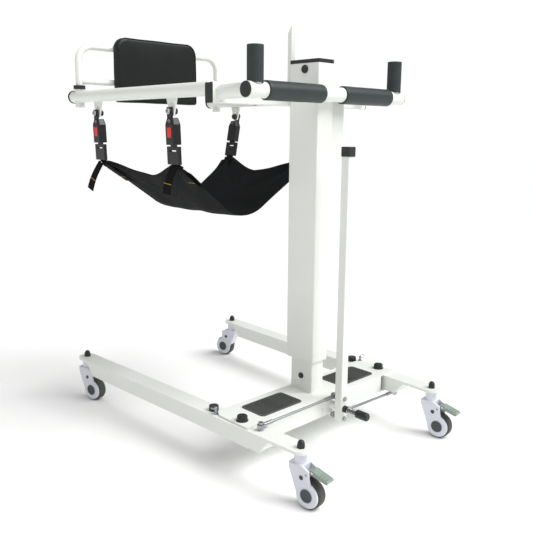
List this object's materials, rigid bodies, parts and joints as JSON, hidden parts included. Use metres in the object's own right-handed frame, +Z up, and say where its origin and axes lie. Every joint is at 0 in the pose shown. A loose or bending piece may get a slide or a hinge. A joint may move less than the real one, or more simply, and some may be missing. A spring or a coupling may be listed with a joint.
{
  "type": "sit to stand lift",
  "caption": "Wheeled sit to stand lift: spreading leg base, telescopic electric mast, hand grips, support arms with padded backrest and a buckled seat sling.",
  "frame": {"origin": "on the floor, under the middle of the lift's outline", "axes": "+Z up, +Y towards the person being lifted (backrest end), -Y towards the carer, +X to the right of someone looking along +Y"},
  "size_m": [0.7176, 1.1548, 1.221],
  "materials": {
    "white_powder_coat": "satin white powder coat over steel tube",
    "grip_foam": "matt closed-cell foam",
    "tread_rubber": "matt ribbed rubber",
    "black_plastic": "moulded black plastic",
    "castor_shell": "light lavender grey moulding",
    "castor_tyre": "grey-black polyurethane tread",
    "pedal_plastic": "sage green moulding",
    "bright_steel": "bright zinc plated steel",
    "drive_steel": "ground steel rod",
    "drive_housing": "anodised tube",
    "guide_plastic": "natural acetal",
    "vinyl": "black upholstery vinyl",
    "sling_fabric": "black woven polyester",
    "buckle_plastic": "black buckle moulding",
    "release_red": "red moulding"
  },
  "bodies": {
    "base": {"base_beam": "white_powder_coat", "base_top_plate": "white_powder_coat", "base_bottom_plate": "white_powder_coat", "foot_pads": "tread_rubber", "leg_pivot_bolts": "black_plastic", "inner_mast": "white_powder_coat", "actuator_body": "drive_housing", "actuator_lower_pin": "black_plastic", "lever_bracket": "white_powder_coat", "lever_pivot_bolt": "black_plastic", "lever_spring": "bright_steel"},
    "carriage": {"outer_mast": "white_powder_coat", "mast_guide": "guide_plastic", "actuator_rod": "drive_steel", "actuator_upper_pin": "black_plastic", "handle_bar": "white_powder_coat", "handle_grips": "grip_foam", "upright_grips": "grip_foam", "cross_beam": "white_powder_coat", "left_support_arm": "white_powder_coat", "right_support_arm": "white_powder_coat", "end_caps": "black_plastic", "control_box": "white_powder_coat", "hanger_bolts": "bright_steel", "buckles": "buckle_plastic", "strap_tongues": "buckle_plastic", "seat_sling": "sling_fabric"},
    "backrest": {"backrest_frame": "white_powder_coat", "backrest_pad": "vinyl"},
    "lever": {"lever_tube": "white_powder_coat", "lever_cap": "black_plastic", "lever_rod_pins": "bright_steel"},
    "left_leg": {"left_leg_front": "white_powder_coat", "left_leg_hardware": "bright_steel", "left_front_castor_cap": "black_plastic"},
    "left_leg_tail": {"left_leg_rear": "white_powder_coat", "left_rear_castor_cap": "black_plastic"},
    "left_knob": {"left_leg_knob": "black_plastic"},
    "left_rod": {"left_tie_rod": "bright_steel"},
    "left_front_swivel": {"left_front_castor_fork": "castor_shell"},
    "left_front_wheel": {"left_front_castor_wheel": "castor_tyre"},
    "left_front_pedal": {"left_front_brake_pedal": "pedal_plastic"},
    "left_rear_swivel": {"left_rear_castor_fork": "castor_shell"},
    "left_rear_wheel": {"left_rear_castor_wheel": "castor_tyre"},
    "right_leg": {"right_leg_front": "white_powder_coat", "right_leg_hardware": "bright_steel", "right_front_castor_cap": "black_plastic"},
    "right_leg_tail": {"right_leg_rear": "white_powder_coat", "right_rear_castor_cap": "black_plastic"},
    "right_knob": {"right_leg_knob": "black_plastic"},
    "right_rod": {"right_tie_rod": "bright_steel"},
    "right_front_swivel": {"right_front_castor_fork": "castor_shell"},
    "right_front_wheel": {"right_front_castor_wheel": "castor_tyre"},
    "right_front_pedal": {"right_front_brake_pedal": "pedal_plastic"},
    "right_rear_swivel": {"right_rear_castor_fork": "castor_shell"},
    "right_rear_wheel": {"right_rear_castor_wheel": "castor_tyre"},
    "left_front_button": {"left_front_release_button": "release_red"},
    "left_rear_button": {"left_rear_release_button": "release_red"},
    "right_front_button": {"right_front_release_button": "release_red"},
    "right_rear_button": {"right_rear_release_button": "release_red"}
  },
  "joints": [
    {"name": "mast_lift", "type": "slide", "parent": "base", "child": "carriage", "axis": [0, 0, 1], "range_m": [0, 0.4]},
    {"name": "backrest_lift_out", "type": "slide", "parent": "carriage", "child": "backrest", "axis": [0, 0, 1], "range_m": [0, 0.15]},
    {"name": "lever_swing", "type": "hinge", "parent": "base", "child": "lever", "pos_m": [0, -0.35463, 0.132], "axis": [0, 1, 0], "range_deg": [0, 24]},
    {"name": "left_leg_spread", "type": "hinge", "parent": "base", "child": "left_leg", "pos_m": [-0.3, -0.27563, 0.148], "axis": [0, 0, 1], "range_deg": [0, 10]},
    {"name": "left_rod_turn", "type": "hinge", "parent": "left_leg", "child": "left_rod", "pos_m": [-0.29719, -0.34557, 0.1607], "axis": [0, 0, 1], "range_deg": [-10, 0]},
    {"name": "left_leg_extend", "type": "slide", "parent": "left_leg", "child": "left_leg_tail", "axis": [-0.0401, 0.9992, 0], "range_m": [0, 0.1]},
    {"name": "left_knob_turn", "type": "hinge", "parent": "left_leg_tail", "child": "left_knob", "pos_m": [-0.30457, -0.16172, 0.148], "axis": [0, 0, 1], "continuous": true},
    {"name": "left_front_castor_swivel", "type": "hinge", "parent": "left_leg", "child": "left_front_swivel", "pos_m": [-0.29161, -0.48446, 0.112], "axis": [0, 0, 1], "continuous": true},
    {"name": "left_front_wheel_roll", "type": "hinge", "parent": "left_front_swivel", "child": "left_front_wheel", "pos_m": [-0.28816, -0.51728, 0.0375], "axis": [0.9945, 0.1045, 0], "continuous": true},
    {"name": "left_front_brake_press", "type": "hinge", "parent": "left_front_swivel", "child": "left_front_pedal", "pos_m": [-0.28837, -0.51529, 0.092], "axis": [0.9945, 0.1045, 0], "range_deg": [0, 15]},
    {"name": "left_rear_castor_swivel", "type": "hinge", "parent": "left_leg_tail", "child": "left_rear_swivel", "pos_m": [-0.33086, 0.49275, 0.112], "axis": [0, 0, 1], "continuous": true},
    {"name": "left_rear_wheel_roll", "type": "hinge", "parent": "left_rear_swivel", "child": "left_rear_wheel", "pos_m": [-0.32344, 0.4606, 0.0375], "axis": [0.9744, 0.225, 0], "continuous": true},
    {"name": "right_leg_spread", "type": "hinge", "parent": "base", "child": "right_leg", "pos_m": [0.3, -0.27563, 0.148], "axis": [0, 0, -1], "range_deg": [0, 10]},
    {"name": "right_rod_turn", "type": "hinge", "parent": "right_leg", "child": "right_rod", "pos_m": [0.29719, -0.34557, 0.094], "axis": [0, 0, -1], "range_deg": [-10, 0]},
    {"name": "right_leg_extend", "type": "slide", "parent": "right_leg", "child": "right_leg_tail", "axis": [0.0401, 0.9992, 0], "range_m": [0, 0.1]},
    {"name": "right_knob_turn", "type": "hinge", "parent": "right_leg_tail", "child": "right_knob", "pos_m": [0.30457, -0.16172, 0.148], "axis": [0, 0, 1], "continuous": true},
    {"name": "right_front_castor_swivel", "type": "hinge", "parent": "right_leg", "child": "right_front_swivel", "pos_m": [0.29161, -0.48446, 0.112], "axis": [0, 0, 1], "continuous": true},
    {"name": "right_front_wheel_roll", "type": "hinge", "parent": "right_front_swivel", "child": "right_front_wheel", "pos_m": [0.29506, -0.51728, 0.0375], "axis": [0.9945, 0.1045, 0], "continuous": true},
    {"name": "right_front_brake_press", "type": "hinge", "parent": "right_front_swivel", "child": "right_front_pedal", "pos_m": [0.29485, -0.51529, 0.092], "axis": [0.9945, 0.1045, 0], "range_deg": [0, 15]},
    {"name": "right_rear_castor_swivel", "type": "hinge", "parent": "right_leg_tail", "child": "right_rear_swivel", "pos_m": [0.33086, 0.49275, 0.112], "axis": [0, 0, 1], "continuous": true},
    {"name": "right_rear_wheel_roll", "type": "hinge", "parent": "right_rear_swivel", "child": "right_rear_wheel", "pos_m": [0.32344, 0.5249, 0.0375], "axis": [-0.9744, -0.225, 0], "continuous": true},
    {"name": "left_front_button_press", "type": "slide", "parent": "carriage", "child": "left_front_button", "axis": [0.9994, 0, 0.0349], "range_m": [0, 0.003], "stiffness_N_per_m": 500},
    {"name": "left_rear_button_press", "type": "slide", "parent": "carriage", "child": "left_rear_button", "axis": [0.9994, 0, 0.0349], "range_m": [0, 0.003], "stiffness_N_per_m": 500},
    {"name": "right_front_button_press", "type": "slide", "parent": "carriage", "child": "right_front_button", "axis": [-0.9816, 0, 0.1908], "range_m": [0, 0.003], "stiffness_N_per_m": 500},
    {"name": "right_rear_button_press", "type": "slide", "parent": "carriage", "child": "right_rear_button", "axis": [-0.9816, 0, 0.1908], "range_m": [0, 0.003], "stiffness_N_per_m": 500}
  ],
  "couplings": [
    {"joint": "left_leg_spread", "follows": "lever_swing", "ratio": 0.41666},
    {"joint": "left_rod_turn", "follows": "lever_swing", "ratio": -0.41666},
    {"joint": "right_leg_spread", "follows": "lever_swing", "ratio": 0.41666},
    {"joint": "right_rod_turn", "follows": "lever_swing", "ratio": -0.41666}
  ]
}
